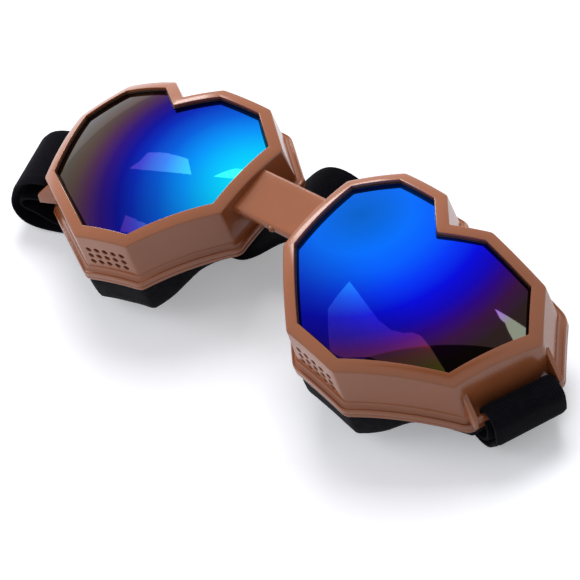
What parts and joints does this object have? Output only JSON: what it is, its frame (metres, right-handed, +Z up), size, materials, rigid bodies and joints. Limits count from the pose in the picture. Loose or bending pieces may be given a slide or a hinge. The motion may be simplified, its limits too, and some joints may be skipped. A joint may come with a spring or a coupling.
{
  "type": "heart goggles",
  "caption": "Heart-shaped goggles: two moulded cups with domed mirror lenses, vents and foam on a bendable nose bridge, with an elastic strap looped on side bars.",
  "frame": {"origin": "middle of the bounding box's base, on the surface that the goggles lie on", "axes": "+X from the cup with the doubled strap loop to the other cup, +Y towards the notches of the hearts, +Z up, out of the lenses"},
  "size_m": [0.2066, 0.0706, 0.047],
  "materials": {
    "frame": "glossy chestnut brown moulding",
    "lens": "blue mirror coating that shades through purple to bronze",
    "seal": "satin black",
    "foam": "black open-cell foam with a brushed skin",
    "elastic": "matt black woven elastic",
    "slider": "black moulded plastic"
  },
  "bodies": {
    "bridge": {"nose_bridge": "frame", "strap_arch": "elastic"},
    "right_cup": {"right_housing": "frame", "right_lens": "lens", "right_lens_seal": "seal", "right_foam_carrier": "frame", "right_face_foam": "foam", "right_strap_run": "elastic"},
    "left_cup": {"left_housing": "frame", "left_lens": "lens", "left_lens_seal": "seal", "left_foam_carrier": "frame", "left_face_foam": "foam", "left_strap_run": "elastic", "left_strap_tail": "elastic"},
    "right_loop": {"right_strap_loop": "elastic"},
    "left_loop": {"left_strap_loop": "elastic"},
    "slider": {"strap_slider": "slider", "strap_hem": "elastic"}
  },
  "joints": [
    {"name": "right_cup_flex", "type": "hinge", "parent": "bridge", "child": "right_cup", "pos_m": [0.01425, 0.00316, 0.04015], "axis": [-0.016, -0.9884, -0.1512], "range_deg": [-8, 12], "stiffness_Nm_per_rad": 0.6, "deforming": ["strap_arch"]},
    {"name": "left_cup_flex", "type": "hinge", "parent": "bridge", "child": "left_cup", "pos_m": [-0.00702, 0.00316, 0.04015], "axis": [-0.016, 0.9884, 0.1512], "range_deg": [-8, 12], "stiffness_Nm_per_rad": 0.6, "deforming": ["strap_arch"]},
    {"name": "right_loop_swing", "type": "hinge", "parent": "right_cup", "child": "right_loop", "pos_m": [0.09323, -0.00527, 0.01663], "axis": [-0.3597, -0.931, 0.0621], "range_deg": [0, 45]},
    {"name": "left_loop_swing", "type": "hinge", "parent": "left_cup", "child": "left_loop", "pos_m": [-0.086, -0.00527, 0.01663], "axis": [-0.3597, 0.931, -0.0621], "range_deg": [0, 15]},
    {"name": "slider_travel", "type": "slide", "parent": "left_cup", "child": "slider", "axis": [0.9486, 0.3165, 0], "range_m": [-0.008, 0.008]}
  ]
}
